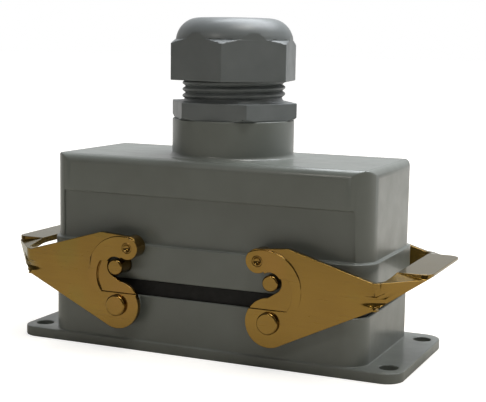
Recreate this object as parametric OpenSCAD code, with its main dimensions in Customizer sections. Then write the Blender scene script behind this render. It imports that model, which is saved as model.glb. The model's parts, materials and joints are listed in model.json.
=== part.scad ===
// Heavy duty rectangular connector: a bulkhead housing with two locking levers,
// a top entry hood with a cable gland, and a mated pair of screw terminal inserts.
// Millimetres. Origin at the middle of the flange's underside, +Z up, +X along the length.

/* [Inserts] */
// Length of an insert over its fixing ears
insert_l = 84.5; // [82:0.5:88]
// Width of an insert over its fixing ears
insert_w = 34; // [33:0.5:36]
// Thickness of the ear plate
ear_t = 3; // [2.4:0.1:3.6]
// Room between an insert and the wall around it
insert_gap = 0.5; // [0.3:0.1:0.8]
// Distance between fixing screws along the length
fix_span_x = 77.5; // [76:0.5:79]
// Distance between fixing screws across the width
fix_span_y = 27; // [26:0.5:27.5]
// Length of the contact block
block_l = 66; // [62:0.5:68]
// Width of the contact block on its wire side
block_w = 32.6; // [31:0.2:33.4]
// Width of the socket nose
nose_w = 25; // [24:0.5:26]
// Height of the socket nose above its ear plate
nose_h = 12; // [11:0.5:12.5]
// Depth of the socket insert below its ear plate
female_depth = 10.5; // [9.5:0.1:11]
// Height of the pin insert above its ear plate
male_depth = 9.5; // [9:0.1:11]
// Width of an earth plate
earth_w = 13; // [11:0.5:15]
// Thickness of an earth plate
earth_t = 0.8; // [0.6:0.1:1]
// Earth plate's overhang beyond its fixing screws' centres
earth_end = 2.4; // [2:0.1:3]
// Width of an earth plate's contact tongue
tongue_w = 6; // [5:0.5:7]
// Height of the socket insert's contact tongue
tongue_h = 7.5; // [6:0.5:8.5]
// Distance of the contact tongues from the contact block
tongue_out = 3.2; // [2.8:0.1:3.6]
// Wall of the shroud around the pins
shroud_t = 2.4; // [2:0.1:2.8]
// Room between the nose and the shroud
nose_gap = 0.4; // [0.3:0.05:0.6]

/* [Contacts] */
// Contacts in each of the two rows
contacts_per_row = 8; // [6:1:8]
// Distance between contacts in a row
contact_pitch = 7.6; // [7.2:0.1:8]
// Distance of a row from the middle
row_y = 6.8; // [6.4:0.1:7.2]
// Diameter of a pin
pin_d = 2.5; // [2:0.1:2.8]
// Wall of a socket
socket_t = 0.6; // [0.5:0.05:0.7]
// Clearance around a pin in its socket
pin_fit = 0.08; // [0.04:0.02:0.12]
// Depth to which a pin enters its socket
pin_engage = 9; // [7:0.5:9.5]
// Width of a terminal
terminal_w = 5; // [4.6:0.1:5.4]
// Height of a terminal
terminal_h = 6.6; // [6:0.1:7]
// Diameter of the wire hole in a terminal
wire_d = 2.8; // [2.2:0.1:3.2]
// Diameter of a terminal screw's thread
terminal_screw_d = 2.4; // [2:0.1:2.8]

/* [Bulkhead housing] */
// Wall at the ends of the housing
end_wall = 3.5; // [3.2:0.1:4]
// Wall along the sides of the housing
side_wall = 4; // [3.8:0.1:4.5]
// Height of the housing's shoulder above its underside
base_h = 15.4; // [15:0.1:17]
// Radius of the housing's upright corners
base_r = 6; // [5:0.5:7]
// Thickness of the flange
flange_t = 2.8; // [2.4:0.1:3.2]
// Radius of the flange's corners
flange_r = 5; // [4:0.5:6]
// Ledge of the flange beside the housing's long sides
flange_side = 0.7; // [0.4:0.1:1]
// Distance of the mounting holes beyond the ends of the housing
hole_out = 5.25; // [5:0.05:6]
// Flange beyond the mounting holes
hole_edge = 4.5; // [4:0.1:6]
// Distance between mounting holes across the width
hole_span_y = 32; // [30:0.5:34]
// Diameter of a mounting hole
hole_d = 4.8; // [4.2:0.1:5.2]

/* [Seals] */
// Height of the housing seal that shows between the hood and the housing
seal_h = 4.1; // [3:0.1:4.5]
// Width of the housing seal
seal_w = 1.8; // [1.4:0.1:2]
// Depth of the groove that holds the housing seal
seal_groove = 0.8; // [0.6:0.1:1]
// Setback of the housing seal from the housing's outer face
seal_back = 1.1; // [0.9:0.1:1.3]
// Width of the panel gasket under the flange
gasket_w = 2; // [1.6:0.1:2.4]
// Thickness of the panel gasket
gasket_t = 1.2; // [1:0.1:1.5]
// Distance from the cavity to the panel gasket
gasket_in = 1.3; // [1:0.1:1.6]

/* [Hood] */
// Height of the hood from its lower rim to its roof
hood_h = 33.25; // [32:0.25:38]
// How far the hood stands out past the housing's ends
hood_over = 0.5; // [0:0.1:0.8]
// How far the hood's upper part stands in from the housing's long sides
hood_in = 1.4; // [1:0.1:1.6]
// Radius of the hood's upright corners
hood_r = 6.8; // [6:0.2:8]
// Radius of the edge round the roof
roof_r = 2.4; // [1.8:0.2:3]
// Thickness of the roof
roof_t = 3.2; // [2.6:0.1:4]
// Height of the skirt above the hood's lower rim
skirt_h = 9.7; // [9:0.1:10.5]
// How far the skirt stands proud of the hood above it
skirt_out = 0.8; // [0.6:0.1:1.2]
// Height of the plain band below the roof
band_h = 10.3; // [9:0.1:12]
// Depth of the panel in the hood's long sides
panel_depth = 0.9; // [0.6:0.1:1.1]
// Width of the pillars at both ends of a panel
pillar_w = 4.2; // [3.4:0.2:6]
// Diameter of the neck on the roof
neck_d = 33.7; // [33:0.1:35]
// Height of the neck above the roof
neck_h = 10.3; // [9:0.1:12]
// Fillet at the foot of the neck
neck_fillet = 1.2; // [0.8:0.1:1.5]

/* [Studs] */
// Distance of a lever's pivot from the middle
pivot_x = 22.2; // [21.8:0.1:23]
// Height of a lever's pivot above the underside
pivot_z = 13; // [12.6:0.1:13.4]
// Diameter of a pivot stud
pivot_d = 4.5; // [4:0.1:4.8]
// Diameter of a pivot stud's head
pivot_head_d = 5.8; // [5.4:0.1:6.2]
// Thickness of a pivot stud's head
pivot_head_t = 1.1; // [0.9:0.1:1.4]
// Diameter of the cast boss behind a lever
boss_d = 10; // [9:0.5:11]
// Distance of a locking peg from the middle
peg_x = 22.6; // [22.4:0.1:23]
// Height of a locking peg above the hood's lower rim
peg_up = 3.9; // [3.7:0.1:4.2]
// Diameter of a locking peg
peg_d = 4.3; // [4:0.1:4.5]
// How far a locking peg stands out past the lever
peg_proud = 0.6; // [0.3:0.1:1]
// How deep the studs and pegs are pressed into the castings
stud_embed = 0.9; // [0.7:0.1:1]

/* [Levers] */
// Thickness of the lever's sheet
sheet_t = 1.6; // [1.4:0.1:1.8]
// Room between the housing's side and the lever
cheek_gap = 2.6; // [2.4:0.1:2.8]
// Angle through which a lever opens
open_angle = 33; // [31:1:34]
// Room left above the flange when a lever is open
open_rest = 0.3; // [0.3:0.1:0.6]
// Radius of the lobe around the pivot
lobe_r = 6.5; // [6:0.1:6.8]
// Radius of the hook's rounded end
hook_r = 3.2; // [3:0.1:3.3]
// Distance of the hook's end from the pivot
hook_reach = 16.22; // [16.2:0.02:16.6]
// Angle of the hook's end above the lever's length
hook_angle = 101.4; // [100:0.2:102]
// Room around the peg in the lever's mouth
mouth_gap = 0.7; // [0.5:0.05:0.8]
// Slope of the mouth's lower flank
flank_angle = 33; // [30:1:36]
// Distance of the lever's crest from the pivot along the length
crest_x = 4.4; // [3.5:0.1:5.5]
// Height of the lever's crest above the hook's end
crest_up = 3.75; // [3.6:0.05:4.2]
// Radius of the lever's crest
crest_r = 5; // [4.5:0.1:5.5]
// Distance from the housing's end to the bend of a lever's arm
bend_out = 3.25; // [3.2:0.05:4]
// Height of the arm at its bend
arm_h = 7.2; // [6.8:0.1:7.6]
// Angle of the arms
arm_angle = 47; // [44:1:49]
// Inner radius of the arms' bend
bend_r = 1.2; // [1:0.1:1.5]
// Reach of the finger plate past the arms' bend
plate_reach = 12; // [11:0.2:12.4]
// Width of the finger plate from its inner to its outer edge
plate_w = 8.8; // [8:0.2:9.2]
// Length of the finger plate across the lever
plate_l = 30.4; // [29.6:0.2:31]
// Height of the finger plate above the arm's upper edge
plate_up = 1.2; // [0.8:0.1:1.4]
// Radius of the finger plate's corners
plate_r = 2.8; // [2:0.2:3.2]
// Rise of the pressed hook above the lever's face
press_rise = 0.6; // [0.4:0.1:0.8]
// Radius of the pressed arc round the hook
press_r = 10.2; // [9.6:0.2:10.6]
// Radius of the wide dart on the cheek before the bend
dart_wide_r = 1.4; // [1.2:0.1:1.6]
// Distance of the wide dart's lower end before the bend
dart_wide_l = 4.4; // [4:0.1:5]
// Radius of the narrow dart that runs up the arm
dart_r = 0.75; // [0.6:0.05:0.9]
// Length of the narrow dart on the arm
dart_arm = 4.3; // [3.8:0.1:5]
// Height of the darts' lower ends above the arm's lower edge
dart_low = 2.4; // [2:0.1:2.8]
// Height of the narrow dart's upper end above the arm's lower edge
dart_high = 5; // [4.4:0.1:5.4]
// Diameter of the stud riveted behind the hook
hook_stud_d = 6.2; // [5.6:0.1:6.2]

/* [Cable gland] */
// Width across the flats of both hexagons
hex_af = 31.6; // [31:0.1:32.4]
// Height of the gland body's hexagon
body_hex_h = 4.7; // [4:0.1:6]
// Turn of the gland body's hexagon
body_hex_turn = 5; // [0:1:59]
// Diameter of the thread into the hood's neck
entry_thread_d = 25; // [24.4:0.1:25.4]
// Length of the thread into the hood's neck
entry_thread_l = 9; // [8:0.1:10]
// Diameter of the thread under the nut
nut_thread_d = 28.4; // [28:0.1:28.8]
// Pitch of the thread under the nut
nut_pitch = 1.75; // [1.5:0.05:2]
// Depth of the thread under the nut
thread_depth = 0.85; // [0.7:0.05:1]
// Height of the threaded collar
collar_h = 10; // [9.8:0.1:10.4]
// Thread that shows below the nut when it is slack
slack = 5.8; // [5.4:0.1:6]
// Height of the nut's hexagon up to the foot of the dome
nut_hex_h = 11.05; // [10.8:0.05:12]
// Turn of the nut's hexagon
nut_hex_turn = 43.3; // [0:0.1:59]
// Radius of the nut's dome
dome_r = 6.5; // [6:0.1:6.8]
// Diameter of the dome at its foot
dome_d = 32.3; // [31.8:0.1:32.6]
// Diameter of the nut's cable opening
opening_d = 18.2; // [17:0.1:18.6]
// Diameter of the grommet's cable bore
cable_d = 15; // [13:0.5:15.4]
// Wall of the rubber grommet
grommet_t = 1.95; // [1.8:0.05:2]
// Wall of the clamping cage
cage_t = 2; // [1.8:0.05:2.1]
// Fingers round the clamping cage
cage_fingers = 12; // [8:1:14]
// Thickness of the flat washer in the neck
washer_t = 1; // [0.8:0.1:1.2]
// Width of the flat washer in the neck
washer_w = 1.3; // [1:0.05:1.4]
// Thickness of the slip ring in the nut
slip_t = 1.1; // [0.9:0.1:1.2]

/* [Hidden] */
$fn = 96;
// Overlap that lets a cut pass cleanly through a face
cut = 0.5;
// Clearance between pieces that sit in each other
seat = 0.05;
// Gap between flat faces that slide on each other
slide_gap = 0.1;
// How far a line dips into a circle that it runs into
nick = 0.03;
// Larger than the whole model, for cutting planes
far = 200;

cavity_l = insert_l + 2 * insert_gap;
cavity_w = insert_w + 2 * insert_gap;
cavity_r = 3;
base_l = cavity_l + 2 * end_wall;
base_w = cavity_w + 2 * side_wall;
hole_span_x = base_l + 2 * hole_out;
flange_l = hole_span_x + 2 * hole_edge;
flange_w = base_w + 2 * flange_side;

gasket_l = cavity_l + 2 * (gasket_in + gasket_w);
gasket_b = cavity_w + 2 * (gasket_in + gasket_w);

hood_z = base_h + seal_h;
roof_z = hood_z + hood_h;
hood_l = base_l + 2 * hood_over;
hood_w = base_w - 2 * hood_in;
skirt_l = hood_l + 2 * skirt_out;
skirt_w = hood_w + 2 * skirt_out;
skirt_r = hood_r + 0.4;
skirt_z = hood_z + skirt_h;
panel_l = hood_l - 2 * pillar_w;
neck_z = roof_z + neck_h;

female_seat_z = base_h - ear_t - 0.9;
female_rear_z = female_seat_z - female_depth;
female_top_z = female_seat_z + ear_t;
nose_top_z = female_top_z + nose_h;
male_floor_z = nose_top_z + 1;
male_seat_z = male_floor_z + ear_t;
male_rear_z = male_seat_z + male_depth;
female_terminal_z = female_rear_z + 0.8;
female_screw_z = female_terminal_z + terminal_h / 2;
male_terminal_z = male_rear_z - 0.8 - terminal_h;
male_screw_z = male_terminal_z + terminal_h / 2;
nose_l = block_l - 2 * (shroud_t + nose_gap);
shroud_w = nose_w + 2 * (shroud_t + nose_gap);

socket_bore_d = pin_d + 2 * pin_fit;
socket_d = socket_bore_d + 2 * socket_t;
terminal_out = 6;
terminal_in = 1.9;

fix_screw_d = 3.2;
fix_screw_end = 4.5;
fix_slot_w = 0.8;
fix_head_d = 6;
fix_head_h = 2;
post_h = 6;

cheek_y = base_w / 2 + cheek_gap;
peg_z = hood_z + peg_up;
hook_x = pivot_x + hook_reach * cos(hook_angle);
hook_z = pivot_z + hook_reach * sin(hook_angle);
mouth_r = peg_d / 2 + mouth_gap;
hook_shank_d = 2.8;
bend_x = base_l / 2 + bend_out;
arm_low_z = pivot_z + (bend_x - pivot_x) * tan(open_angle)
    - (pivot_z - flange_t - open_rest) / cos(open_angle);
arm_top_z = arm_low_z + arm_h;
plate_top_z = arm_top_z + plate_up;
arm_x = bend_x + (bend_r + sheet_t) * sin(arm_angle);
arm_y = cheek_y - bend_r + (bend_r + sheet_t) * cos(arm_angle);
arm_l = (bend_x + plate_reach - arm_x) / cos(arm_angle);
plate_x = bend_x + plate_reach;

hex_z = neck_z;
collar_z = hex_z + body_hex_h;
collar_top_z = collar_z + collar_h;
nut_z = collar_z + slack;
dome_step = 0.6;
dome_top_z = nut_z + nut_hex_h - dome_step + dome_r;
hex_corner_r = hex_af / 2 / cos(30);
grommet_r = cable_d / 2 + grommet_t;
cage_in_r = grommet_r + seat;
cage_r = cage_in_r + cage_t;
cage_z = collar_z + 2.2;
cage_top_z = collar_top_z + 1.6;
nut_travel = slack - 1.8;
slip_z = collar_top_z + nut_travel + slip_t + 0.3;

cast_grey = "#74797a";
gland_grey = "#7b8182";
steel_gold = "#b08a3c";
steel_bright = "#c9ccd0";
rubber_black = "#141414";
insert_grey = "#b9bcb8";
brass_tin = "#cfcabc";

// Point where the line from p touches the circle of radius r round c
function touch(c, r, p, side) =
    let (d = p - c, a = atan2(d[1], d[0]) + side * acos(r / norm(d)))
    c + r * [cos(a), sin(a)];

// Place of contact number i along a row
function contact_x(i) = (i - (contacts_per_row - 1) / 2) * contact_pitch;

module rounded_rect(l, w, r) {
    square([l - 2 * r, w], center = true);
    square([l, w - 2 * r], center = true);
    for (x = [-1, 1], y = [-1, 1])
        translate([x * (l / 2 - r), y * (w / 2 - r)]) circle(r = r);
}

module rounded_slab(l, w, h, r) {
    linear_extrude(h) rounded_rect(l, w, r);
}

module ring_slab(l, w, h, r, t) {
    linear_extrude(h) difference() {
        rounded_rect(l, w, r);
        rounded_rect(l - 2 * t, w - 2 * t, r - t);
    }
}

// A cylinder along Y, from y0 to y1
module cross_pin(x, z, r, y0, y1) {
    translate([x, y1, z]) rotate([90, 0, 0]) cylinder(r = r, h = y1 - y0);
}

// The same thing on both long sides of the connector
module both_sides() {
    children();
    mirror([0, 1, 0]) children();
}

// The same thing at all four corners
module four_corners() {
    both_sides() {
        children();
        mirror([1, 0, 0]) children();
    }
}

// The same thing at every contact, drawn with its terminal towards -Y
module at_contacts() {
    for (i = [0 : contacts_per_row - 1], side = [0, 180])
        rotate([0, 0, side]) translate([contact_x(i), -row_y, 0]) children();
}

// ---- bulkhead housing ----

module fixing_post(z0) {
    x = fix_span_x / 2 - 3.6;
    y = fix_span_y / 2 - 3.4;
    intersection() {
        translate([x, y, z0]) cube([far, far, post_h]);
        translate([0, 0, z0 - cut]) rounded_slab(cavity_l + 1, cavity_w + 1, post_h + 1, cavity_r + 0.5);
    }
}

module pivot_boss() {
    intersection() {
        cross_pin(pivot_x, pivot_z, boss_d / 2, base_w / 2 - 0.5, cheek_y - slide_gap);
        translate([0, 0, flange_t]) cube([far, far, base_h - flange_t]);
    }
}

module base_housing() {
    color(cast_grey) difference() {
        union() {
            difference() {
                union() {
                    rounded_slab(flange_l, flange_w, flange_t, flange_r);
                    rounded_slab(base_l, base_w, base_h, base_r);
                    four_corners() pivot_boss();
                }
                translate([0, 0, -cut]) rounded_slab(cavity_l, cavity_w, base_h + 1, cavity_r);
            }
            four_corners() fixing_post(female_seat_z - post_h);
        }
        four_corners() {
            translate([hole_span_x / 2, hole_span_y / 2, -cut]) cylinder(d = hole_d, h = flange_t + 1);
            translate([fix_span_x / 2, fix_span_y / 2, 0]) cylinder(d = fix_screw_d + 2 * seat, h = base_h);
            cross_pin(pivot_x, pivot_z, pivot_d / 2 + seat / 2, base_w / 2 - stud_embed, far);
        }
        translate([0, 0, base_h - seal_groove])
            ring_slab(base_l - 2 * seal_back + 0.1, base_w - 2 * seal_back + 0.1, 2,
                base_r - seal_back + 0.05, seal_w + 0.1);
        translate([0, 0, -cut])
            ring_slab(gasket_l, gasket_b, gasket_t + cut, cavity_r + gasket_in + gasket_w, gasket_w);
    }
}

module flange_gasket() {
    color(rubber_black)
        ring_slab(gasket_l - 2 * seat, gasket_b - 2 * seat, gasket_t - seat,
            cavity_r + gasket_in + gasket_w - seat, gasket_w - 2 * seat);
}

module housing_seal() {
    color(rubber_black) translate([0, 0, base_h - seal_groove + seat])
        ring_slab(base_l - 2 * seal_back, base_w - 2 * seal_back, seal_groove + seal_h - 2 * seat,
            base_r - seal_back, seal_w);
}

module pivot_studs() {
    y0 = base_w / 2 - stud_embed + seat;
    y1 = cheek_y + sheet_t + slide_gap;
    color(steel_gold) four_corners() {
        cross_pin(pivot_x, pivot_z, pivot_d / 2, y0, y1 + 0.2);
        cross_pin(pivot_x, pivot_z, pivot_head_d / 2, y1, y1 + pivot_head_t - 0.3);
        translate([pivot_x, y1 + pivot_head_t - 0.3, pivot_z]) rotate([-90, 0, 0])
            cylinder(d1 = pivot_head_d, d2 = pivot_head_d - 0.6, h = 0.3);
    }
}

// ---- levers ----

// Side view of a lever's cheek: X is the length, Y is the height
module cheek_outline() {
    crest = [pivot_x + crest_x, hook_z + crest_up - crest_r];
    pivot = [pivot_x, pivot_z];
    hook = [hook_x, hook_z];
    peg = [peg_x, peg_z];
    along = [cos(flank_angle), sin(flank_angle)];
    flank = peg + (mouth_r - nick) * [sin(flank_angle), -cos(flank_angle)];
    jaw = flank - ((flank - pivot) * along) * along;
    difference() {
        union() {
            translate(pivot) circle(r = lobe_r);
            translate(hook) circle(r = hook_r);
            translate(crest) circle(r = crest_r);
            polygon([
                hook + [0, hook_r - nick], crest + [0, crest_r - nick],
                touch(crest, crest_r - nick, [bend_x, arm_top_z], 1),
                [bend_x, arm_top_z], [bend_x, arm_low_z],
                touch(pivot, lobe_r - nick, [bend_x, arm_low_z], -1),
                pivot, jaw, flank, peg, hook
            ]);
        }
        translate(peg) circle(r = mouth_r);
        translate(pivot) circle(r = pivot_d / 2 + seat);
        translate(hook) circle(d = hook_shank_d + seat);
    }
}

// Sheet between two distances behind the lever's outer face
module cheek_layer(depth, t) {
    translate([0, cheek_y + sheet_t - depth, 0]) rotate([90, 0, 0]) linear_extrude(t) children();
}

// The hook is pressed outwards inside an arc, more at its end than at the pivot
module pressed_hook() {
    foot_z = pivot_z + pivot_head_d / 2 + 0.6;
    tilt = atan(press_rise / (hook_z + hook_r - foot_z));
    difference() {
        cheek_layer(-2 * press_rise, 2 * press_rise + 0.2) intersection() {
            cheek_outline();
            translate([pivot_x - 1.4, pivot_z + 8.7]) circle(r = press_r);
        }
        translate([0, cheek_y + sheet_t, foot_z]) rotate([-tilt, 0, 0])
            translate([-far, 0, -far]) cube([2 * far, far, 2 * far]);
    }
}

// Shallow pocket in the lower jaw of the mouth
module jaw_pocket() {
    cheek_layer(-2 * press_rise, 2 * press_rise + 0.5) intersection() {
        translate([pivot_x - 0.9, pivot_z + 7.8]) circle(r = 7.2);
        translate([pivot_x - 8, pivot_z + pivot_head_d / 2 + 0.5]) square([16, 8.4]);
    }
}

// Frame of an arm: X runs along it from the bend, and its outer face is at Y = 0
module at_arm() {
    translate([arm_x, arm_y, 0]) rotate([0, 0, -arm_angle]) children();
}

// Point at distance s along an arm and n outside its outer face
function arm_point(s, n) = [
    arm_x + s * cos(arm_angle) + n * sin(arm_angle),
    arm_y - s * sin(arm_angle) + n * cos(arm_angle)
];

// Web that slopes up from an arm to the inner end of the finger plate's side
module plate_web() {
    inner = [plate_x - plate_w + nick, plate_l / 2 - 0.4];
    reach = (arm_x - inner[0]) * sin(arm_angle) + (arm_y - inner[1]) * cos(arm_angle);
    sink = 0.15;
    intersection() {
        translate([0, 0, arm_low_z]) linear_extrude(2 * arm_h) polygon([
            arm_point(0.8, -0.5), inner,
            [plate_x - plate_r, plate_l / 2 - 0.4], arm_point(arm_l - 0.4, -0.5)
        ]);
        at_arm() translate([-far / 2, 0, arm_top_z - sink])
            rotate([-atan((plate_up + sink - nick) / reach), 0, 0])
            translate([0, -far, -sheet_t]) cube([far, far, sheet_t]);
    }
}

// Bend between cheek and arm, which runs a little way into both
module arm_bend() {
    turn = arm_angle + 2 * 8;
    translate([bend_x, cheek_y - bend_r, arm_low_z + nick]) rotate([0, 0, 90 + 8 - turn])
        rotate_extrude(angle = turn) translate([bend_r + nick, 0])
            square([sheet_t - 2 * nick, arm_h - 2 * nick]);
}

// Cheek, bend and arm on the +Y side
module lever_side() {
    difference() {
        union() {
            cheek_layer(0, sheet_t) cheek_outline();
            pressed_hook();
            arm_bend();
            at_arm() translate([0, -sheet_t, arm_low_z]) cube([arm_l, sheet_t, arm_h]);
            plate_web();
            dart_bump();
        }
        jaw_pocket();
        at_wide_dart() dart_groove(dart_wide_r);
        at_narrow_dart() dart_groove(dart_r);
    }
}

// Frame of a dart from before the bend to the arm: Z runs along it and Y points outwards
module at_dart(before, after, rise) {
    p = [bend_x - before, cheek_y + sheet_t, arm_low_z + dart_low];
    end = arm_point(after, 0);
    d = [end[0], end[1], arm_low_z + dart_low + rise] - p;
    translate(p) rotate([0, acos(d[2] / norm(d)), atan2(d[1], d[0])])
        translate([0, 0, -cut]) linear_extrude(norm(d) + 2 * cut) children();
}

module at_wide_dart() {
    at_dart(dart_wide_l, 2, 0.2) children();
}

module at_narrow_dart() {
    at_dart(1, dart_arm, dart_high - dart_low) children();
}

// Section of the groove that a dart presses into the outer face
module dart_groove(r) {
    translate([0, r]) circle(r = r);
    translate([-r, r]) square([2 * r, 8]);
}

// Metal that a dart pushes through to the inner side
module dart_bump() {
    intersection() {
        union() {
            at_wide_dart() translate([0, dart_wide_r]) circle(r = dart_wide_r + 0.6 * sheet_t);
            at_narrow_dart() translate([0, dart_r]) circle(r = dart_r + 0.8 * sheet_t);
        }
        translate([0, cheek_y + sheet_t - 0.4 - far, 0]) cube(far);
        at_arm() translate([-far / 2, -0.4 - far, 0]) cube(far);
    }
}

// Finger plate between the arms, with round outer corners
module finger_plate() {
    translate([0, 0, plate_top_z - sheet_t]) linear_extrude(sheet_t) intersection() {
        translate([plate_x - plate_l / 2, 0]) rounded_rect(plate_l, plate_l, plate_r);
        translate([plate_x - plate_w, -far / 2]) square([far, far]);
    }
}

// Rounds the end of an arm under the finger plate's corner
module arm_end_cut() {
    setback = plate_r * tan((90 - arm_angle) / 2);
    outer_y = arm_y - (plate_x - arm_x) * tan(arm_angle);
    corner = [plate_x - plate_r, outer_y - setback];
    translate([0, 0, arm_low_z - cut]) linear_extrude(far) difference() {
        polygon([
            [plate_x + 1, outer_y - setback], corner,
            corner + (plate_r + 1) * [sin(arm_angle), cos(arm_angle)],
            [plate_x + 3, outer_y + 3]
        ]);
        translate(corner) circle(r = plate_r + nick);
    }
}

module lever() {
    difference() {
        union() {
            both_sides() lever_side();
            finger_plate();
        }
        translate([pivot_x, 0, pivot_z]) rotate([0, -open_angle, 0])
            translate([bend_x - pivot_x, -far / 2, -(pivot_z - flange_t - open_rest) - far])
                cube([far, far, far]);
        both_sides() arm_end_cut();
    }
}

module lever_right() {
    color(steel_gold) lever();
}

module lever_left() {
    color(steel_gold) mirror([1, 0, 0]) lever();
}

// Stud riveted through a hook's end, with its collar behind the sheet
module hook_stud() {
    face_y = cheek_y + sheet_t + 0.7 * press_rise;
    collar_y = skirt_w / 2 + 0.4;
    difference() {
        union() {
            cross_pin(hook_x, hook_z, hook_shank_d / 2, collar_y, face_y);
            cross_pin(hook_x, hook_z, hook_stud_d / 2, collar_y, cheek_y - seat);
        }
        translate([hook_x, face_y + 0.5, hook_z]) sphere(r = 1.2);
    }
}

module hook_studs_right() {
    color(steel_gold) both_sides() hook_stud();
}

module hook_studs_left() {
    color(steel_gold) mirror([1, 0, 0]) both_sides() hook_stud();
}

// ---- hood ----

// Upright profile with its two upper corners rounded
module roofed_profile(w, h, r) {
    translate([-w / 2, 0]) square([w, h - r]);
    translate([-w / 2 + r, 0]) square([w - 2 * r, h]);
    for (x = [-1, 1]) translate([x * (w / 2 - r), h - r]) circle(r = r);
}

module hood_shell() {
    translate([0, 0, hood_z]) intersection() {
        rounded_slab(hood_l, hood_w, hood_h, hood_r);
        translate([0, far / 2, 0]) rotate([90, 0, 0]) linear_extrude(far)
            roofed_profile(hood_l, hood_h, roof_r);
        translate([-far / 2, 0, 0]) rotate([90, 0, 90]) linear_extrude(far)
            roofed_profile(hood_w, hood_h, roof_r);
    }
    translate([0, 0, hood_z]) rounded_slab(skirt_l, skirt_w, skirt_h, skirt_r);
}

module hood_neck() {
    translate([0, 0, roof_z - 1]) cylinder(d = neck_d, h = neck_h + 1);
    translate([0, 0, roof_z - 0.01]) rotate_extrude()
        translate([neck_d / 2 - 0.3, 0]) difference() {
            square([neck_fillet + 0.3, neck_fillet]);
            translate([neck_fillet + 0.3, neck_fillet]) circle(r = neck_fillet);
        }
}

module hood_housing() {
    panel_z = roof_z - band_h;
    color(cast_grey) difference() {
        union() {
            difference() {
                hood_shell();
                both_sides() translate([-panel_l / 2, hood_w / 2 - panel_depth, skirt_z])
                    cube([panel_l, 5, panel_z - skirt_z]);
                translate([0, 0, hood_z - cut])
                    rounded_slab(cavity_l, cavity_w, hood_h - roof_t + cut, cavity_r);
            }
            hood_neck();
            four_corners() fixing_post(male_seat_z);
        }
        translate([0, 0, roof_z - roof_t - cut]) cylinder(d = entry_thread_d + 2 * seat, h = far);
        translate([0, 0, neck_z - washer_t - seat])
            cylinder(d = entry_thread_d + 2 * washer_w + 4 * seat, h = far);
        four_corners() {
            translate([fix_span_x / 2, fix_span_y / 2, male_seat_z - cut])
                cylinder(d = fix_screw_d + 2 * seat, h = post_h);
            cross_pin(peg_x, peg_z, peg_d / 2 + seat / 2, skirt_w / 2 - 3 * stud_embed, far);
        }
    }
}

module hood_pegs() {
    y1 = cheek_y + sheet_t + peg_proud;
    color(steel_gold) four_corners() {
        cross_pin(peg_x, peg_z, peg_d / 2, skirt_w / 2 - 3 * stud_embed + seat, y1 - 0.3);
        translate([peg_x, y1 - 0.3, peg_z]) rotate([-90, 0, 0])
            cylinder(d1 = peg_d, d2 = peg_d - 0.6, h = 0.3);
    }
}

// ---- inserts ----

module terminal_block(z) {
    translate([-terminal_w / 2, -terminal_out, z]) cube([terminal_w, terminal_out + terminal_in, terminal_h]);
}

// Pocket for a terminal, open to the wire side, with its screwdriver hole
module terminal_pocket(z0, z1, z_screw) {
    translate([-terminal_w / 2 - seat, -terminal_out - seat, z0])
        cube([terminal_w + 2 * seat, terminal_out + terminal_in + 2 * seat, z1 - z0]);
    cross_pin(0, z_screw, terminal_screw_d / 2 + 0.9, -far / 4, -terminal_out + cut);
}

module terminal_screw(z_screw) {
    head_y = -terminal_out;
    cross_pin(0, z_screw, terminal_screw_d / 2, head_y - cut, -wire_d / 2 + 0.3);
    difference() {
        cross_pin(0, z_screw, terminal_screw_d / 2 + 0.7, head_y - 1.5, head_y - seat);
        translate([-0.25, head_y - 2.5, z_screw - 3]) cube([0.5, 1.6, 6]);
    }
}

module ear_plate(z) {
    translate([0, 0, z]) rounded_slab(insert_l, insert_w, ear_t, 2.5);
}

module ear_holes(z) {
    four_corners() translate([fix_span_x / 2, fix_span_y / 2, z - cut])
        cylinder(d = fix_screw_d + 0.8, h = ear_t + 1);
}

module female_insert() {
    color(insert_grey) difference() {
        union() {
            ear_plate(female_seat_z);
            translate([0, 0, female_rear_z]) rounded_slab(block_l, block_w, female_depth + cut, 1.5);
            translate([0, 0, female_top_z - cut]) rounded_slab(nose_l, nose_w, nose_h + cut, 2);
        }
        ear_holes(female_seat_z);
        at_contacts() {
            translate([0, 0, female_rear_z]) cylinder(d = socket_d + 2 * seat, h = far);
            terminal_pocket(female_rear_z - cut, female_terminal_z + terminal_h + seat, female_screw_z);
        }
    }
}

module female_contacts() {
    color(brass_tin) at_contacts() difference() {
        union() {
            terminal_block(female_terminal_z);
            translate([0, 0, female_terminal_z + terminal_h - cut])
                cylinder(d = socket_d, h = nose_top_z - 0.4 - female_terminal_z - terminal_h + cut);
        }
        translate([0, 0, nose_top_z - pin_engage - 2]) cylinder(d = socket_bore_d, h = far);
        translate([0, 0, female_terminal_z - cut]) cylinder(d = wire_d, h = terminal_h - 0.4);
        cross_pin(0, female_screw_z, terminal_screw_d / 2 + seat, -far / 4, 0);
    }
}

module female_terminal_screws() {
    color(steel_bright) at_contacts() terminal_screw(female_screw_z);
}

module male_insert() {
    shroud_z = female_top_z + 0.6;
    color(insert_grey) difference() {
        union() {
            ear_plate(male_floor_z);
            translate([0, 0, male_seat_z - cut]) rounded_slab(block_l, block_w, male_depth + cut, 1.5);
            translate([0, 0, shroud_z])
                ring_slab(block_l, shroud_w, male_floor_z - shroud_z + cut, 2 + shroud_t, shroud_t);
        }
        ear_holes(male_floor_z);
        at_contacts() {
            translate([0, 0, male_floor_z - cut]) cylinder(d = pin_d + 1.5, h = male_depth);
            terminal_pocket(male_terminal_z - seat, male_rear_z + cut, male_screw_z);
        }
    }
}

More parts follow.
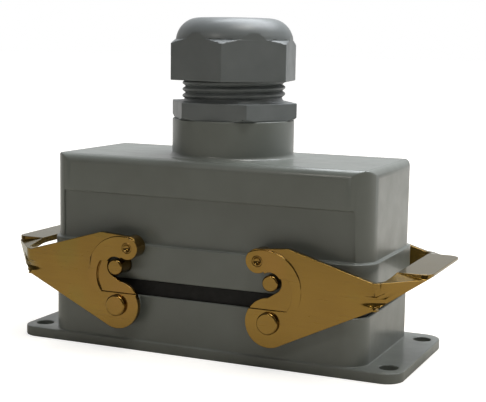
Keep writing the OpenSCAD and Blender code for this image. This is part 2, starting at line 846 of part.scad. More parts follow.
module male_contacts() {
    pin_z = nose_top_z - pin_engage;
    color(brass_tin) at_contacts() difference() {
        union() {
            terminal_block(male_terminal_z);
            translate([0, 0, pin_z + pin_d / 2]) cylinder(d = pin_d, h = male_terminal_z - pin_z);
            translate([0, 0, pin_z + pin_d / 2]) sphere(d = pin_d);
            translate([0, 0, male_floor_z + 0.2])
                cylinder(d = pin_d + 1.4, h = male_terminal_z - male_floor_z);
        }
        translate([0, 0, male_terminal_z + 0.9]) cylinder(d = wire_d, h = terminal_h);
        cross_pin(0, male_screw_z, terminal_screw_d / 2 + seat, -far / 4, 0);
    }
}

module male_terminal_screws() {
    color(steel_bright) at_contacts() terminal_screw(male_screw_z);
}

// Earth plate at one end, drawn on top of an ear plate at height 0
module earth_plate(tongue_x, h) {
    x0 = block_l / 2 + 0.6;
    translate([x0, -earth_w / 2, 0]) cube([fix_span_x / 2 + earth_end - x0, earth_w, earth_t]);
    translate([tongue_x, -tongue_w / 2, 0]) cube([earth_t, tongue_w, h]);
}

module female_earth_plates() {
    color(steel_bright) for (end = [0, 180])
        rotate([0, 0, end]) translate([0, 0, female_top_z])
            earth_plate(block_l / 2 + tongue_out, tongue_h);
}

module male_earth_plates() {
    color(steel_bright) for (end = [0, 180])
        rotate([0, 0, end]) translate([0, 0, male_floor_z]) mirror([0, 0, 1])
            earth_plate(block_l / 2 + tongue_out + earth_t + seat, tongue_h + 1);
}

// Fixing screw with its head's underside at height 0, pointing down
module fixing_screw() {
    difference() {
        union() {
            cylinder(d1 = fix_head_d, d2 = fix_head_d - 1.2, h = fix_head_h);
            translate([0, 0, -ear_t - fix_screw_end])
                cylinder(d = fix_screw_d, h = ear_t + fix_screw_end + cut);
        }
        for (turn = [0, 90]) rotate([0, 0, turn])
            translate([-fix_screw_d / 2, -fix_slot_w / 2, fix_head_h / 2])
                cube([fix_screw_d, fix_slot_w, fix_head_h]);
    }
}

module female_fixing_screws() {
    color(steel_bright) four_corners()
        translate([fix_span_x / 2, fix_span_y / 2, female_top_z]) fixing_screw();
}

module male_fixing_screws() {
    color(steel_bright) four_corners()
        translate([fix_span_x / 2, fix_span_y / 2, male_floor_z]) mirror([0, 0, 1]) fixing_screw();
}

// ---- cable gland ----

// Hexagonal block with a plain upper rim and its lower corners turned off
module hex_block(h) {
    rim_r = hex_af / 2 + 1;
    intersection() {
        cylinder(r = hex_corner_r, h = h, $fn = 6);
        rotate_extrude() polygon([
            [0, 0], [rim_r, 0], [hex_corner_r + 1, (hex_corner_r + 1 - rim_r) * tan(30)],
            [hex_corner_r + 1, h + 1], [0, h + 1]
        ]);
    }
}

// One thread groove, as a ring of V section
module thread_groove(r, z) {
    translate([0, 0, z]) rotate_extrude()
        polygon([[r - thread_depth, 0], [r + 0.2, -nut_pitch * 0.46], [r + 0.2, nut_pitch * 0.46]]);
}

module gland_body() {
    r = nut_thread_d / 2;
    grooves = floor((collar_h - 1.2) / nut_pitch);
    color(gland_grey) difference() {
        union() {
            translate([0, 0, neck_z - entry_thread_l])
                cylinder(d = entry_thread_d, h = entry_thread_l + cut);
            translate([0, 0, hex_z]) rotate([0, 0, body_hex_turn]) hex_block(body_hex_h);
            translate([0, 0, collar_z - cut]) cylinder(r = r, h = collar_h + cut);
        }
        for (i = [0 : grooves - 1])
            thread_groove(r, collar_top_z - (i + 0.8) * nut_pitch);
        translate([0, 0, neck_z - entry_thread_l - cut]) cylinder(d = cable_d + 1, h = far);
        translate([0, 0, cage_z]) cylinder(r = cage_r + seat, h = far);
    }
}

module gland_washer() {
    color(rubber_black) translate([0, 0, neck_z - washer_t]) difference() {
        cylinder(d = entry_thread_d + 2 * washer_w + 2 * seat, h = washer_t - seat);
        translate([0, 0, -cut]) cylinder(d = entry_thread_d + 2 * seat, h = washer_t + 1);
    }
}

module clamping_cage() {
    slot_z = cage_z + 2;
    color(gland_grey) translate([0, 0, cage_z + seat]) difference() {
        cylinder(r = cage_r, h = cage_top_z - cage_z);
        translate([0, 0, -cut]) cylinder(r = cage_in_r, h = far);
        for (i = [0 : cage_fingers - 1])
            rotate([0, 0, i * 360 / cage_fingers])
                translate([cage_in_r - 1, -0.6, slot_z - cage_z]) cube([cage_t + 3, 1.2, far]);
    }
}

module gland_grommet() {
    color(rubber_black) translate([0, 0, cage_z + 0.4]) difference() {
        cylinder(r = grommet_r, h = cage_top_z - cage_z - 1);
        translate([0, 0, -cut]) cylinder(d = cable_d, h = far);
    }
}

module slip_ring() {
    color("#d8d8d4") translate([0, 0, slip_z - slip_t]) difference() {
        cylinder(d = nut_thread_d - 0.4, h = slip_t);
        translate([0, 0, -cut]) cylinder(r = cage_r + 0.3, h = far);
    }
}

// Hexagonal nut turned to a chamfer and a dome at its upper end
module nut_blank() {
    core_r = dome_d / 2 - dome_r;
    wide_r = hex_corner_r + 1;
    intersection() {
        rotate([0, 0, nut_hex_turn]) cylinder(r = hex_corner_r, h = nut_hex_h + dome_r + 1, $fn = 6);
        rotate_extrude() {
            polygon([
                [0, 0], [wide_r, 0], [wide_r, nut_hex_h - (wide_r - dome_d / 2) * tan(30)],
                [dome_d / 2, nut_hex_h], [0, nut_hex_h]
            ]);
            square([core_r, nut_hex_h - dome_step + dome_r]);
            intersection() {
                translate([core_r, nut_hex_h - dome_step]) circle(r = dome_r);
                translate([0, nut_hex_h - 1]) square([far, far]);
            }
        }
    }
}

module dome_nut() {
    bore_r = nut_thread_d / 2 + seat;
    cone_z = slip_z + seat;
    color(gland_grey) difference() {
        translate([0, 0, nut_z]) nut_blank();
        translate([0, 0, nut_z - cut]) cylinder(r = bore_r, h = cone_z - nut_z + cut);
        translate([0, 0, cone_z - 0.01])
            cylinder(r1 = bore_r - 1, r2 = opening_d / 2, h = dome_top_z - 2 - cone_z);
        translate([0, 0, cone_z]) cylinder(d = opening_d, h = far);
    }
}

base_housing();
flange_gasket();
housing_seal();
pivot_studs();
lever_left();
lever_right();
hook_studs_left();
hook_studs_right();
hood_housing();
hood_pegs();
female_insert();
female_contacts();
female_terminal_screws();
female_earth_plates();
female_fixing_screws();
male_insert();
male_contacts();
male_terminal_screws();
male_earth_plates();
male_fixing_screws();
gland_body();
gland_washer();
clamping_cage();
gland_grommet();
slip_ring();
dome_nut();
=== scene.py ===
"""Looks of a heavy duty rectangular connector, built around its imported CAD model.

Each CAD node that shows from outside is copied, its corners are rounded as the casting, stamping or
moulding would have them, and the copy gets the finish of its material slot. The gland's threaded
collar is turned afresh with a real helical thread. Names that end in _mm hold millimetres, and
mm(...) turns them into the metres of the scene.
"""

import json
import logging
import math
from dataclasses import dataclass
from enum import Enum
from typing import Any, Iterable, Optional

import bmesh
import bpy
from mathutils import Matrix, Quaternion, Vector


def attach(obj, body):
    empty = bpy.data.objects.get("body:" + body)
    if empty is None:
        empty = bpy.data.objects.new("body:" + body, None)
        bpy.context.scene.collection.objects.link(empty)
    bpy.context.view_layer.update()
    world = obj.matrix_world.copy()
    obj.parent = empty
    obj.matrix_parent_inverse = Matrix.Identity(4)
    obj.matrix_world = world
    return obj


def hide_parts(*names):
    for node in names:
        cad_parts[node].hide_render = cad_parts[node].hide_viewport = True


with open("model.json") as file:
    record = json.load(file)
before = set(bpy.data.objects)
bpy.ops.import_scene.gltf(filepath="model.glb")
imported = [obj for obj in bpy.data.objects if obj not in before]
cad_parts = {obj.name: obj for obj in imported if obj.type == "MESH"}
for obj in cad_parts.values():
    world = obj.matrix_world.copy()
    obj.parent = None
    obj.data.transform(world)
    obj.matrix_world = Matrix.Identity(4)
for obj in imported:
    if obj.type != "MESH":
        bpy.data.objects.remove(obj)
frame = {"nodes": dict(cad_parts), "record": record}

log = logging.getLogger("connector")

WHITE = (1.0, 1.0, 1.0, 1.0)
NOISE_SPREAD = (0.3, 0.7)  # noise seldom leaves this range, so what follows it is spread over it

Socket = bpy.types.NodeSocket
Tree = bpy.types.NodeTree


def mm(value: float) -> float:
    """Millimetres as metres."""
    return value * 0.001


def point(place_mm: tuple[float, float, float]) -> Vector:
    """A place given in millimetres as a vector in metres."""
    return Vector(place_mm) * mm(1)


def linear(colour: str) -> tuple[float, float, float, float]:
    """Turn an sRGB hex colour into linear RGBA.

    Args:
        colour: six hex digits with a leading #.

    Returns:
        Linear red, green and blue, and an alpha of 1.
    """
    parts = [int(colour[i:i + 2], 16) / 255 for i in (1, 3, 5)]
    red, green, blue = (c / 12.92 if c <= 0.04045 else ((c + 0.055) / 1.055) ** 2.4 for c in parts)
    return red, green, blue, 1.0


# ---------------------------------------------------------------------------------------------
# Finishes
# ---------------------------------------------------------------------------------------------


def add_node(
    tree: Tree,
    kind: str,
    links: Optional[dict[Any, Socket]] = None,
    values: Optional[dict[Any, Any]] = None,
    **settings: Any,
) -> bpy.types.Node:
    """Add one shader node.

    Args:
        tree: the node tree that takes it.
        kind: the node's type name.
        links: input name or number to the output socket that feeds it.
        values: input name or number to the value that it holds.
        settings: properties of the node itself.

    Returns:
        The new node.
    """
    node = tree.nodes.new(kind)
    for name, value in settings.items():
        setattr(node, name, value)
    for name, value in (values or {}).items():
        node.inputs[name].default_value = value
    for name, socket in (links or {}).items():
        tree.links.new(socket, node.inputs[name])
    return node


def new_tree(holder: bpy.types.ID) -> Tree:
    """Switch a material or world to nodes and empty its tree.

    Args:
        holder: the material or world.

    Returns:
        Its empty node tree.
    """
    holder.use_nodes = True
    holder.node_tree.nodes.clear()
    return holder.node_tree


def ramp(node: bpy.types.Node, stops: Iterable[tuple[float, str]]) -> None:
    """Set the stops of a colour ramp node.

    Args:
        node: the ramp.
        stops: position and sRGB hex colour of each stop, in order.
    """
    elements = node.color_ramp.elements
    for i, (position, colour) in enumerate(stops):
        stop = elements[i] if i < len(elements) else elements.new(position)
        stop.position = position
        stop.color = linear(colour)


@dataclass(frozen=True)
class Finish:
    """What every finish shares: a colour with mottle, a gloss that varies, and a fine relief."""

    name: str
    colour: str
    mottle_colour: str
    mottle_mm: float
    grain_mm: float
    grain_height_mm: float
    roughness: float
    roughness_swing: float = 0.06
    metallic: float = 0.0
    coat: float = 0.0
    coat_roughness: float = 0.12
    ior: float = 1.5
    edge_tint: str = "#ffffff"
    gloss_blot_share: float = 0.6  # size of the gloss's blots against the mottle's

    def build(self) -> bpy.types.Material:
        """Make the material with its node tree.

        Returns:
            The finished material.
        """
        material = bpy.data.materials.new(self.name)
        tree = new_tree(material)
        place = add_node(tree, "ShaderNodeTexCoord").outputs["Object"]
        values = {"Metallic": self.metallic, "IOR": self.ior, "Specular Tint": linear(self.edge_tint)}
        if self.coat:
            values |= {"Coat Weight": self.coat, "Coat Roughness": self.coat_roughness}
        shader = add_node(
            tree, "ShaderNodeBsdfPrincipled",
            links={
                "Base Color": self.paint_colour(tree, place),
                "Roughness": self.paint_gloss(tree, place),
                "Normal": self.paint_relief(tree, place),
            },
            values=values,
        )
        add_node(tree, "ShaderNodeOutputMaterial", links={"Surface": shader.outputs["BSDF"]})
        return material

    def noise(self, tree: Tree, place: Socket, size_mm: float, detail: float = 3.0,
              rough: float = 0.5) -> Socket:
        """Cloudy noise whose blots are about size_mm across.

        Args:
            tree: the material's node tree.
            place: the coordinates that it reads.
            size_mm: size of a blot.
            detail: octaves of finer noise.
            rough: how strong the finer octaves are.

        Returns:
            The noise's factor output.
        """
        return add_node(
            tree, "ShaderNodeTexNoise", links={"Vector": place},
            values={"Scale": 1 / mm(size_mm), "Detail": detail, "Roughness": rough},
        ).outputs["Fac"]

    def paint_colour(self, tree: Tree, place: Socket) -> Socket:
        """Base colour: the two colours of the finish in soft blots.

        Args:
            tree: the material's node tree.
            place: the coordinates that it reads.

        Returns:
            The colour output.
        """
        blots = add_node(tree, "ShaderNodeValToRGB",
                         links={"Fac": self.noise(tree, place, self.mottle_mm)})
        ramp(blots, zip(NOISE_SPREAD, (self.mottle_colour, self.colour)))
        return blots.outputs["Color"]

    def gloss_noise(self, tree: Tree, place: Socket) -> Socket:
        """The noise that the gloss follows: soft blots."""
        return self.noise(tree, place, self.mottle_mm * self.gloss_blot_share)

    def paint_gloss(self, tree: Tree, place: Socket) -> Socket:
        """Roughness that swings a little from place to place.

        Args:
            tree: the material's node tree.
            place: the coordinates that it reads.

        Returns:
            The roughness output.
        """
        low, high = NOISE_SPREAD
        return add_node(
            tree, "ShaderNodeMapRange", links={"Value": self.gloss_noise(tree, place)},
            values={
                "From Min": low, "From Max": high,
                "To Min": self.roughness - self.roughness_swing,
                "To Max": self.roughness + self.roughness_swing,
            },
        ).outputs["Result"]

    def paint_relief(self, tree: Tree, place: Socket) -> Socket:
        """Surface relief at the grain of the finish.

        Args:
            tree: the material's node tree.
            place: the coordinates that it reads.

        Returns:
            The normal output.
        """
        return add_node(
            tree, "ShaderNodeBump",
            links={"Height": self.noise(tree, place, self.grain_mm, detail=2.0)},
            values={"Strength": 1.0, "Distance": mm(self.grain_height_mm)},
        ).outputs["Normal"]


@dataclass(frozen=True)
class PassivatedSteel(Finish):
    """Zinc plated steel strip in yellow chromate: a gold metal whose film drifts to green and rose."""

    film_green: str = "#8b7c32"
    film_rose: str = "#9c7032"
    film_mm: float = 14.0
    film_strength: float = 0.38
    film_stops: tuple[float, float, float, float] = (0.30, 0.42, 0.60, 0.75)
    rolling_length_mm: float = 9.0
    rolling_width_mm: float = 0.35
    rolling_relief: float = 0.12
    grain_relief: float = 0.15

    def gloss_noise(self, tree: Tree, place: Socket) -> Socket:
        """Noise drawn out along the strip, as its rolling left it.

        Args:
            tree: the material's node tree.
            place: the coordinates that it reads.

        Returns:
            The noise's factor output.
        """
        along = add_node(
            tree, "ShaderNodeMapping", links={"Vector": place},
            values={"Scale": (self.rolling_width_mm / self.rolling_length_mm, 1.0, 1.0)},
        )
        return self.noise(tree, along.outputs["Vector"], self.rolling_width_mm, detail=4.0, rough=0.6)

    def paint_colour(self, tree: Tree, place: Socket) -> Socket:
        """Gold with a drift of the chromate's interference colours.

        Args:
            tree: the material's node tree.
            place: the coordinates that it reads.

        Returns:
            The colour output.
        """
        film = add_node(tree, "ShaderNodeValToRGB",
                        links={"Fac": self.noise(tree, place, self.film_mm, detail=1.0)})
        drift = (self.film_green, self.colour, self.mottle_colour, self.film_rose)
        ramp(film, zip(self.film_stops, drift))
        factor, plain, tinted, mixed = 0, 6, 7, 2  # numbers of a Mix node's colour sockets
        gold = add_node(
            tree, "ShaderNodeMix", data_type="RGBA",
            links={tinted: film.outputs["Color"]},
            values={factor: self.film_strength, plain: linear(self.colour)},
        )
        return gold.outputs[mixed]

    def paint_relief(self, tree: Tree, place: Socket) -> Socket:
        """Rolling marks under the plating's own fine grain.

        Args:
            tree: the material's node tree.
            place: the coordinates that it reads.

        Returns:
            The normal output.
        """
        marks = add_node(
            tree, "ShaderNodeBump", links={"Height": self.gloss_noise(tree, place)},
            values={"Strength": self.rolling_relief, "Distance": mm(self.grain_height_mm)},
        )
        return add_node(
            tree, "ShaderNodeBump",
            links={"Height": self.noise(tree, place, self.grain_mm), "Normal": marks.outputs["Normal"]},
            values={"Strength": self.grain_relief, "Distance": mm(self.grain_height_mm)},
        ).outputs["Normal"]


def finishes() -> dict[str, bpy.types.Material]:
    """Make one material for each material slot of the record.

    Returns:
        Slot name to material.
    """
    table = {
        # Die-cast aluminium under grey powder coat: semi-gloss, with a faint orange peel.
        "cast_grey": Finish(
            "powder_coated_casting", "#767b76", "#70746f", mottle_mm=11.0, grain_mm=0.9,
            grain_height_mm=0.010, roughness=0.34, coat=0.2),
        # Moulded polyamide 6: bluer than the paint, with the mould's fine matt texture.
        "gland_grey": Finish(
            "moulded_polyamide", "#74797a", "#6c7172", mottle_mm=7.0, grain_mm=0.35,
            grain_height_mm=0.010, roughness=0.38),
        # Zinc plated steel strip in yellow chromate, under its clear sealer.
        "passivated_steel": PassivatedSteel(
            "yellow_passivated_steel", "#98762c", "#8f6d27", mottle_mm=6.0, grain_mm=0.5,
            grain_height_mm=0.006, roughness=0.22, metallic=1.0, coat=0.7, edge_tint="#bcc8c6"),
        # Zinc plated wire and screws: bright, with a cloudy crystal grain.
        "bright_steel": Finish(
            "zinc_plated_steel", "#cfd1d2", "#b9bcbf", mottle_mm=2.5, grain_mm=0.3,
            grain_height_mm=0.006, roughness=0.24, metallic=1.0),
        # Extruded nitrile rubber: nearly black, dull, with a bloom of dust.
        "black_rubber": Finish(
            "nitrile_rubber", "#0d0d0d", "#131312", mottle_mm=3.0, grain_mm=0.4,
            grain_height_mm=0.02, roughness=0.7),
        # Glass filled polycarbonate: pebble grey with flow marks.
        "insert_plastic": Finish(
            "glass_filled_polycarbonate", "#b7b8ae", "#a9aaa0", mottle_mm=5.0, grain_mm=0.4,
            grain_height_mm=0.012, roughness=0.48),
        # Copper alloy under silver plate, a little tarnished.
        "silver_brass": Finish(
            "silver_plated_brass", "#d9d3c3", "#b8ab8c", mottle_mm=1.6, grain_mm=0.3,
            grain_height_mm=0.004, roughness=0.26, metallic=1.0),
        # Unfilled nylon as it is moulded: milky white.
        "white_nylon": Finish(
            "natural_nylon", "#dcdbd3", "#cfcec4", mottle_mm=4.0, grain_mm=0.4,
            grain_height_mm=0.010, roughness=0.45),
    }
    return {slot: finish.build() for slot, finish in table.items()}


# ---------------------------------------------------------------------------------------------
# Workshop
# ---------------------------------------------------------------------------------------------


class Edge(Enum):
    """How a sharp corner was softened in the making."""

    CAST = "cast"
    MOULDED = "moulded"
    STAMPED = "stamped"
    TURNED = "turned"

    def radius_mm(self) -> float:
        """Rounding that this way of making leaves."""
        return {Edge.CAST: 0.35, Edge.MOULDED: 0.22, Edge.STAMPED: 0.12, Edge.TURNED: 0.12}[self]


@dataclass
class Workshop:
    """Makes pieces and sets each on its body with the finish of its slot."""

    materials: dict[str, bpy.types.Material]
    weld_mm: float = 0.002
    flat_deg: float = 0.4  # faces that meet flatter than this become one
    round_over_deg: float = 34.0  # flatter corners aren't rounded, unless a piece says so
    rounding_strips: int = 2
    sliver_ratio: float = 1.6  # a face narrower than this many radii is a sliver
    pinch_ratio: float = 1.003  # a pinched face's triangles cover more than this share of it
    sharp_deg: float = 46.0  # edges over this angle are shaded sharp
    area_weight: int = 60  # over 50, large faces stay flat up to their rounded edges

    def slot_of(self, node: str) -> str:
        """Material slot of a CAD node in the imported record."""
        return next(s["material_slot"] for s in frame["record"]["subparts"] if s["node"] == node)

    def body_of(self, node: str) -> str:
        """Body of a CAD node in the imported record."""
        bodies = frame["record"]["behaviour"]["bodies"]
        return next(name for name, nodes in bodies.items() if node in nodes)

    def finish_nodes(self) -> None:
        """Give every CAD node the finish of its slot."""
        for node, obj in frame["nodes"].items():
            obj.data.materials.clear()
            obj.data.materials.append(self.materials[self.slot_of(node)])

    def place(self, bm: bmesh.types.BMesh, name: str, node: str) -> bpy.types.Object:
        """Turn a bmesh into a piece that goes with a CAD node.

        Args:
            bm: the shape, in the row's frame; it is freed.
            name: the new object's name.
            node: the CAD node whose body and slot it takes.

        Returns:
            The new object.
        """
        mesh = bpy.data.meshes.new(name)
        bm.to_mesh(mesh)
        bm.free()
        mesh.shade_smooth()
        mesh.set_sharp_from_angle(angle=math.radians(self.sharp_deg))
        piece = bpy.data.objects.new(name, mesh)
        bpy.context.scene.collection.objects.link(piece)
        mesh.materials.append(self.materials[self.slot_of(node)])
        even = piece.modifiers.new("even_shading", "WEIGHTED_NORMAL")
        even.mode, even.weight, even.keep_sharp = "FACE_AREA", self.area_weight, True
        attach(piece, self.body_of(node))
        log.info("%s: %d faces on %s", name, len(mesh.polygons), self.body_of(node))
        return piece

    def copy_of(self, node: str) -> bmesh.types.BMesh:
        """A CAD node's shape as one welded mesh with its flat faces whole.

        Args:
            node: the CAD node.

        Returns:
            A new bmesh.
        """
        bm = bmesh.new()
        bm.from_mesh(frame["nodes"][node].data)
        bmesh.ops.remove_doubles(bm, verts=bm.verts, dist=mm(self.weld_mm))
        bmesh.ops.dissolve_degenerate(bm, dist=mm(self.weld_mm), edges=bm.edges)
        bmesh.ops.dissolve_limit(bm, angle_limit=math.radians(self.flat_deg), verts=bm.verts,
                                 edges=bm.edges, use_dissolve_boundaries=False, delimit=set())
        return bm

    def round_corners(self, bm: bmesh.types.BMesh, edge: Edge, over_deg: float) -> None:
        """Round the sharp outer and inner corners of a shape, but not beside a sliver of a face.

        Args:
            bm: the shape.
            edge: how it was made, which sets the radius.
            over_deg: corners flatter than this stay as they are.
        """
        radius = mm(edge.radius_mm())
        thinnest = radius * self.sliver_ratio
        sharp = [
            e for e in bm.edges
            if len(e.link_faces) == 2 and e.calc_face_angle(0.0) > math.radians(over_deg)
            and min(f.calc_area() for f in e.link_faces) > thinnest * e.calc_length()
        ]
        bmesh.ops.bevel(bm, geom=sharp, offset=radius, offset_type="OFFSET",
                        segments=self.rounding_strips, profile=0.5, affect="EDGES",
                        clamp_overlap=False, material=-1, loop_slide=True)
        self.refill_pinched(bm)

    def refill_pinched(self, bm: bmesh.types.BMesh) -> None:
        """Fill flat faces again whose outline the rounding pinched where it meets a hole.

        Args:
            bm: the shape.
        """
        bm.normal_update()
        covered: dict[bmesh.types.BMFace, float] = {}
        for a, b, c in bm.calc_loop_triangles():
            area = (b.vert.co - a.vert.co).cross(c.vert.co - a.vert.co).length / 2
            covered[a.face] = covered.get(a.face, 0.0) + area
        speck = mm(mm(0.001))  # a thousandth of a square millimetre
        pinched = [face for face, area in covered.items()
                   if len(face.verts) > 4 and area > self.pinch_ratio * face.calc_area() + speck]
        for face in pinched:
            rim, normal = list(face.edges), face.normal.copy()
            bmesh.ops.delete(bm, geom=[face], context="FACES_ONLY")
            bmesh.ops.triangle_fill(bm, use_beauty=True, use_dissolve=False, edges=rim, normal=normal)

    def stand_in(self, bm: bmesh.types.BMesh, name: str, node: str, edge: Edge,
                 over_deg: Optional[float] = None) -> None:
        """Round a shape's corners and stand it in for a CAD node.

        Args:
            bm: the shape, in the row's frame; it is freed.
            name: the piece's name.
            node: the CAD node that it replaces.
            edge: how its corners are rounded.
            over_deg: corners flatter than this stay as they are, if not the workshop's own.
        """
        self.round_corners(bm, edge, over_deg or self.round_over_deg)
        piece = self.place(bm, name, node)
        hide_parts(node)

    def dress(self, node: str, name: str, edge: Edge, over_deg: Optional[float] = None) -> None:
        """Stand a rounded copy in for a CAD node.

        Args:
            node: the CAD node.
            name: the piece's name.
            edge: how its corners are rounded.
            over_deg: corners flatter than this stay as they are, if not the workshop's own.
        """
        self.stand_in(self.copy_of(node), name, node, edge, over_deg)


# ---------------------------------------------------------------------------------------------
# Sub-assemblies
# ---------------------------------------------------------------------------------------------


@dataclass
class BulkheadHousing:
    """Die-cast housing with its seal and the studs that carry the levers."""

    shop: Workshop

    def build(self) -> None:
        """Make the housing's pieces."""
        self.shop.dress("base_housing", "housing_casting", Edge.CAST)
        self.shop.dress("housing_seal", "seal_profile", Edge.MOULDED)
        self.shop.dress("pivot_studs", "pivot_rivets", Edge.TURNED)


class Side(Enum):
    """Which end of the connector a lever closes."""

    LEFT = "left"
    RIGHT = "right"


@dataclass
class LockingLever:
    """One locking lever: the stamping and the studs riveted through its hooks."""

    shop: Workshop
    side: Side
    round_over_deg: float = 70.0  # so only its cut edges are rounded, not its bends and darts

    def build(self) -> None:
        """Make the lever's pieces."""
        name = self.side.value
        self.shop.dress(f"lever_{name}", f"{name}_lever_stamping", Edge.STAMPED, self.round_over_deg)
        self.shop.dress(f"hook_studs_{name}", f"{name}_hook_rivets", Edge.TURNED)


@dataclass
class Hood:
    """Die-cast hood with its locking pegs."""

    shop: Workshop

    def build(self) -> None:
        """Make the hood's pieces."""
        self.shop.dress("hood_housing", "hood_casting", Edge.CAST)
        self.shop.dress("hood_pegs", "hood_peg_pins", Edge.TURNED)


@dataclass
class CableGland:
    """Moulded cable gland: body with its threaded collar, and dome nut."""

    shop: Workshop
    crest_mm: float = 14.2
    root_mm: float = 13.36
    foot_mm: float = 0.3  # how far the ridge reaches into the collar
    pitch_mm: float = 1.75
    crest_flat_mm: float = 0.4
    crest_drop_mm: float = 0.05  # height of the crest's rounding
    crest_out_mm: float = 0.06  # its width outside the flat
    crest_in_mm: float = 0.04  # and inside it
    collar_mm: tuple[float, float] = (67.75, 77.75)
    shoulder_mm: float = 0.3  # this much of the collar's ends keeps its size
    crest_slack_mm: float = 0.02  # what lies this close to the crest belongs to it
    end_gap_mm: float = 0.02  # between an end of the thread and of the collar
    steps_a_turn: int = 60
    body_round_over_deg: float = 38.0
    nut_round_over_deg: float = 28.0  # so the edges of the nut's domed facets are rounded too

    def build(self) -> None:
        """Make the gland's pieces."""
        self.mould_body()
        self.cut_thread()
        self.shop.dress("dome_nut", "dome_nut_moulding", Edge.MOULDED, self.nut_round_over_deg)

    def mould_body(self) -> None:
        """Body whose collar is turned down to the root of its thread."""
        bm = self.shop.copy_of("gland_body")
        low, high = (mm(z) for z in self.collar_mm)
        shoulder, crest = mm(self.shoulder_mm), mm(self.crest_mm - self.crest_slack_mm)
        collar = [
            v for v in bm.verts
            if low + shoulder < v.co.z < high - shoulder and v.co.xy.length > crest
        ]
        shrink = self.root_mm / self.crest_mm
        bmesh.ops.scale(bm, vec=(shrink, shrink, 1.0), verts=collar)
        self.shop.stand_in(bm, "gland_moulding", "gland_body", Edge.MOULDED, self.body_round_over_deg)

    def ridge(self) -> list[tuple[float, float]]:
        """Section of the thread's ridge.

        Returns:
            Radius and height of each corner in millimetres, from the lower foot to the upper one.
        """
        half, flat = self.pitch_mm / 2, self.crest_flat_mm / 2
        upper = [
            (self.crest_mm, flat - self.crest_in_mm),
            (self.crest_mm - self.crest_drop_mm, flat + self.crest_out_mm),
            (self.root_mm, half),
            (self.root_mm - self.foot_mm, half),
        ]
        return [(r, -z) for r, z in reversed(upper)] + upper

    def cut_thread(self) -> None:
        """One V ridge wound round the collar as a right-hand helix."""
        bottom, top = self.collar_mm
        start = bottom + self.pitch_mm / 2 + self.end_gap_mm
        turns = (top - bottom - self.pitch_mm - 2 * self.end_gap_mm) / self.pitch_mm
        steps = round(turns * self.steps_a_turn)
        bm = bmesh.new()
        section = bm.faces.new([bm.verts.new((0.0, mm(r), mm(start + z))) for r, z in self.ridge()])
        wound = bmesh.ops.spin(
            bm, geom=list(section.edges), cent=(0, 0, 0), axis=(0, 0, 1), steps=steps,
            angle=steps * math.tau / self.steps_a_turn,
            dvec=(0, 0, mm(self.pitch_mm / self.steps_a_turn)), use_merge=False, use_duplicate=False,
        )
        last = [g for g in wound["geom_last"] if isinstance(g, bmesh.types.BMEdge)]
        bmesh.ops.edgeloop_fill(bm, edges=last)
        bmesh.ops.recalc_face_normals(bm, faces=bm.faces)
        self.shop.place(bm, "collar_thread", "gland_body")


# ---------------------------------------------------------------------------------------------
# Studio
# ---------------------------------------------------------------------------------------------


@dataclass(frozen=True)
class Softbox:
    """One rectangular lamp."""

    name: str
    place_mm: tuple[float, float, float]
    aim_mm: tuple[float, float, float]
    size_mm: tuple[float, float]
    watts: float
    colour: str

    def hang(self) -> None:
        """Hang the lamp and point it."""
        light = bpy.data.lights.new(self.name, "AREA")
        light.shape = "RECTANGLE"
        light.size, light.size_y = (mm(v) for v in self.size_mm)
        light.energy = self.watts
        light.color = linear(self.colour)[:3]
        lamp = bpy.data.objects.new(self.name, light)
        lamp.location = point(self.place_mm)
        lamp.rotation_mode = "QUATERNION"
        lamp.rotation_quaternion = (point(self.aim_mm) - point(self.place_mm)).to_track_quat("-Z", "Y")
        bpy.context.scene.collection.objects.link(lamp)


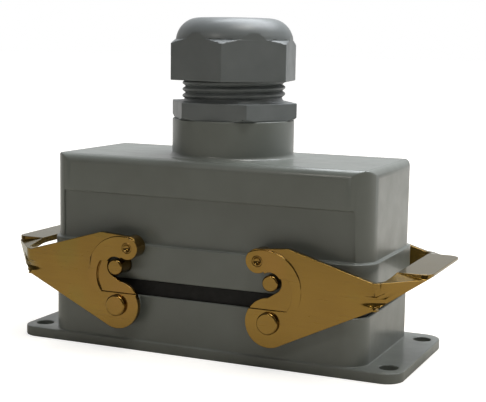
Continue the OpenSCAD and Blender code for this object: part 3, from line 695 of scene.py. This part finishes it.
@dataclass
class Studio:
    """Pale floor, soft lamps, plain surroundings and the camera."""

    floor_colour: str = "#bfbab0"
    floor_half_mm: float = 6000.0
    fade_mm: tuple[float, float] = (120.0, 700.0)  # distance over which the floor turns white
    near_white: float = 0.75  # how much of the white it has close to the connector
    gloss_white: float = 0.6  # how much of it gloss and glass show
    behind_depth: float = 0.25  # how far behind the connector they show that much
    tent_depth: tuple[float, float] = (-0.5, 0.5)
    tent_light: tuple[float, float] = (0.05, 0.34)  # in front of the connector and behind it
    lamps: tuple[Softbox, ...] = (
        Softbox("ceiling_softbox", (60, 260, 620), (0, 10, 30), (620, 460), 5.6, "#f6faff"),
        Softbox("side_softbox", (560, 60, 460), (0, 0, 40), (320, 320), 0.25, "#fffaf0"),
        Softbox("overhead_lamp", (150, -70, 570), (0, 0, 45), (240, 180), 1.1, "#fffdf8"),
        Softbox("front_lamp", (-160, -620, 420), (0, 0, 45), (120, 90), 0.45, "#fff8f0"),
    )
    azimuth_deg: float = 23.84
    elevation_deg: float = 7.81
    roll_deg: float = 0.95
    lens_mm: float = 85.66
    sensor_mm: float = 36.0
    camera_mm: tuple[float, float, float] = (132.35, -292.05, 83.93)
    clip_mm: tuple[float, float] = (10.0, 30000.0)

    def build(self) -> None:
        """Make everything that is not part of the connector."""
        self.lay_floor()
        self.light_surroundings()
        for lamp in self.lamps:
            lamp.hang()
        self.place_camera()

    def lay_floor(self) -> None:
        """A wide pale floor that keeps the connector's shadow."""
        bm = bmesh.new()
        bmesh.ops.create_grid(bm, x_segments=1, y_segments=1, size=mm(self.floor_half_mm))
        mesh = bpy.data.meshes.new("floor")
        bm.to_mesh(mesh)
        bm.free()
        mesh.materials.append(self.floor_paper())
        floor = bpy.data.objects.new("floor", mesh)
        bpy.context.scene.collection.objects.link(floor)

    def floor_paper(self) -> bpy.types.Material:
        """The floor's paper, seen as white further off and clear from below.

        Returns:
            The material.
        """
        material = bpy.data.materials.new("floor_paper")
        tree = new_tree(material)
        place = add_node(tree, "ShaderNodeTexCoord").outputs["Object"]
        depth = add_node(tree, "ShaderNodeSeparateXYZ", links={"Vector": place}).outputs["Y"]
        reach = add_node(tree, "ShaderNodeVectorMath", operation="LENGTH", links={0: place})
        near, far = (mm(v) for v in self.fade_mm)
        fade = add_node(tree, "ShaderNodeMapRange", links={"Value": reach.outputs["Value"]},
                        values={"From Min": near, "From Max": far, "To Min": self.near_white})
        lift = add_node(tree, "ShaderNodeMath", operation="MULTIPLY",
                        links={0: self.seen(tree, depth), 1: fade.outputs["Result"]})
        shader = add_node(
            tree, "ShaderNodeBsdfPrincipled", links={"Emission Strength": lift.outputs[0]},
            values={
                "Base Color": linear(self.floor_colour), "Roughness": 0.9,
                "Specular IOR Level": 0.0, "Emission Color": WHITE,
            },
        )
        under = add_node(tree, "ShaderNodeNewGeometry").outputs["Backfacing"]
        clear = add_node(tree, "ShaderNodeBsdfTransparent")
        sheet = add_node(tree, "ShaderNodeMixShader",
                         links={0: under, 1: shader.outputs["BSDF"], 2: clear.outputs["BSDF"]})
        add_node(tree, "ShaderNodeOutputMaterial", links={"Surface": sheet.outputs["Shader"]})
        return material

    def seen(self, tree: Tree, depth: Socket) -> Socket:
        """How much of the white background a ray is shown.

        Args:
            tree: the material's or world's node tree.
            depth: how far back a point or a direction lies.

        Returns:
            1 for what is looked at, gloss_white behind the connector for what gloss or glass
            shows, and 0 for light that bounces.
        """
        path = add_node(tree, "ShaderNodeLightPath").outputs
        behind = add_node(
            tree, "ShaderNodeMapRange", links={"Value": depth},
            values={"From Min": 0.0, "From Max": self.behind_depth, "To Max": self.gloss_white},
        )
        gloss = add_node(tree, "ShaderNodeMath", operation="MAXIMUM",
                         links={0: path["Is Glossy Ray"], 1: path["Is Transmission Ray"]})
        shown = add_node(tree, "ShaderNodeMath", operation="MULTIPLY",
                         links={0: gloss.outputs[0], 1: behind.outputs["Result"]})
        return add_node(tree, "ShaderNodeMath", operation="MAXIMUM",
                        links={0: path["Is Camera Ray"], 1: shown.outputs[0]}).outputs[0]

    def light_surroundings(self) -> None:
        """White behind the connector, dimmer in front of it, as in a light tent."""
        world = bpy.data.worlds.new("light_tent")
        bpy.context.scene.world = world
        tree = new_tree(world)
        way = add_node(tree, "ShaderNodeTexCoord").outputs["Generated"]
        depth = add_node(tree, "ShaderNodeSeparateXYZ", links={"Vector": way}).outputs["Y"]
        front, back = self.tent_depth
        dim, bright = self.tent_light
        shade = add_node(
            tree, "ShaderNodeMapRange", links={"Value": depth},
            values={"From Min": front, "From Max": back, "To Min": dim, "To Max": bright},
        )
        level = add_node(tree, "ShaderNodeMath", operation="MAXIMUM",
                         links={0: self.seen(tree, depth), 1: shade.outputs["Result"]})
        shell = add_node(tree, "ShaderNodeBackground", links={"Strength": level.outputs[0]},
                         values={"Color": WHITE})
        add_node(tree, "ShaderNodeOutputWorld", links={"Surface": shell.outputs["Background"]})

    def place_camera(self) -> None:
        """Stand the camera where the connector is seen a little from the right and above."""
        azimuth, elevation = math.radians(self.azimuth_deg), math.radians(self.elevation_deg)
        back = Vector((
            math.sin(azimuth) * math.cos(elevation),
            -math.cos(azimuth) * math.cos(elevation),
            math.sin(elevation),
        ))
        data = bpy.data.cameras.new("camera")
        data.lens = self.lens_mm
        data.sensor_width = self.sensor_mm
        data.clip_start, data.clip_end = (mm(v) for v in self.clip_mm)
        camera = bpy.data.objects.new("camera", data)
        camera.location = point(self.camera_mm)
        camera.rotation_mode = "QUATERNION"
        roll = Quaternion((0.0, 0.0, 1.0), math.radians(self.roll_deg))
        camera.rotation_quaternion = (-back).to_track_quat("-Z", "Y") @ roll
        bpy.context.scene.collection.objects.link(camera)
        bpy.context.scene.camera = camera


def main() -> None:
    """Build the looks in order and report each sub-assembly."""
    logging.basicConfig(level=logging.INFO, format="%(name)s %(message)s")
    bpy.context.scene.view_settings.view_transform = "Standard"
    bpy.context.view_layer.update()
    shop = Workshop(finishes())
    shop.finish_nodes()
    assemblies = [
        BulkheadHousing(shop),
        Hood(shop),
        LockingLever(shop, Side.LEFT),
        LockingLever(shop, Side.RIGHT),
        CableGland(shop),
    ]
    for assembly in assemblies:
        assembly.build()
        log.info("%s done", type(assembly).__name__)
    Studio().build()


if __name__ == "__main__":
    main()
